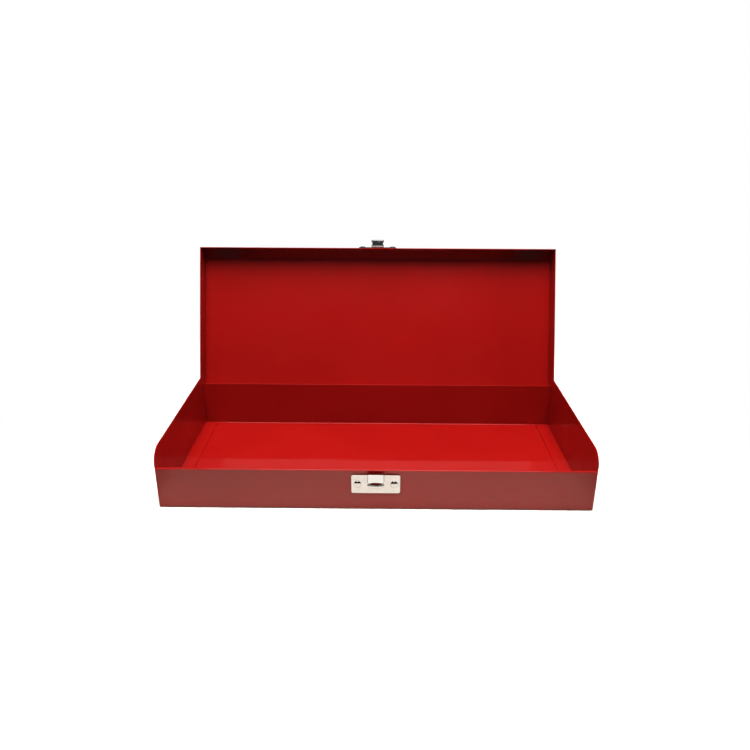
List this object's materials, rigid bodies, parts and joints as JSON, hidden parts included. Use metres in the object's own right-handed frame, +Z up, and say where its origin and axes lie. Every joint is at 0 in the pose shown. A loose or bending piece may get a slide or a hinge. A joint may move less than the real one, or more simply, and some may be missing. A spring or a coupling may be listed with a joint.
{
  "type": "steel tool box with hinged lid",
  "caption": "Shallow red-painted sheet-steel tool box, open topped, with end panels, a lid on a full-length hinge and a riveted snap catch",
  "frame": {"origin": "middle of the flat underside of the box, midway between its front and back walls", "axes": "+X along the width to the right as seen from the front, +Y from the front to the back, +Z up"},
  "size_m": [0.4222, 0.2335, 0.2154],
  "materials": {
    "red_paint": "glossy red enamel over steel sheet",
    "nickel": "bright nickel plating",
    "pin_steel": "zinc-plated steel wire"
  },
  "bodies": {
    "box": {"box_wrapper": "red_paint", "end_panel_left": "red_paint", "end_panel_right": "red_paint", "hinge_leaf_box": "red_paint", "hinge_pin": "pin_steel", "catch_plate": "nickel", "catch_rivet_left": "nickel", "catch_rivet_right": "nickel"},
    "lid": {"lid_shell": "red_paint", "hinge_leaf_lid": "red_paint", "latch_base_plate": "nickel", "latch_rivet_left": "nickel", "latch_rivet_right": "nickel", "latch_pin": "nickel"},
    "tongue": {"latch_tongue": "nickel"}
  },
  "joints": [
    {"name": "lid_hinge", "type": "hinge", "parent": "box", "child": "lid", "pos_m": [0, 0.0834, 0.0494], "axis": [1, 0, 0], "range_deg": [0, 108.5]},
    {"name": "latch_hinge", "type": "hinge", "parent": "lid", "child": "tongue", "pos_m": [0, 0.13162, 0.21021], "axis": [1, 0, 0], "range_deg": [0, 142]}
  ]
}
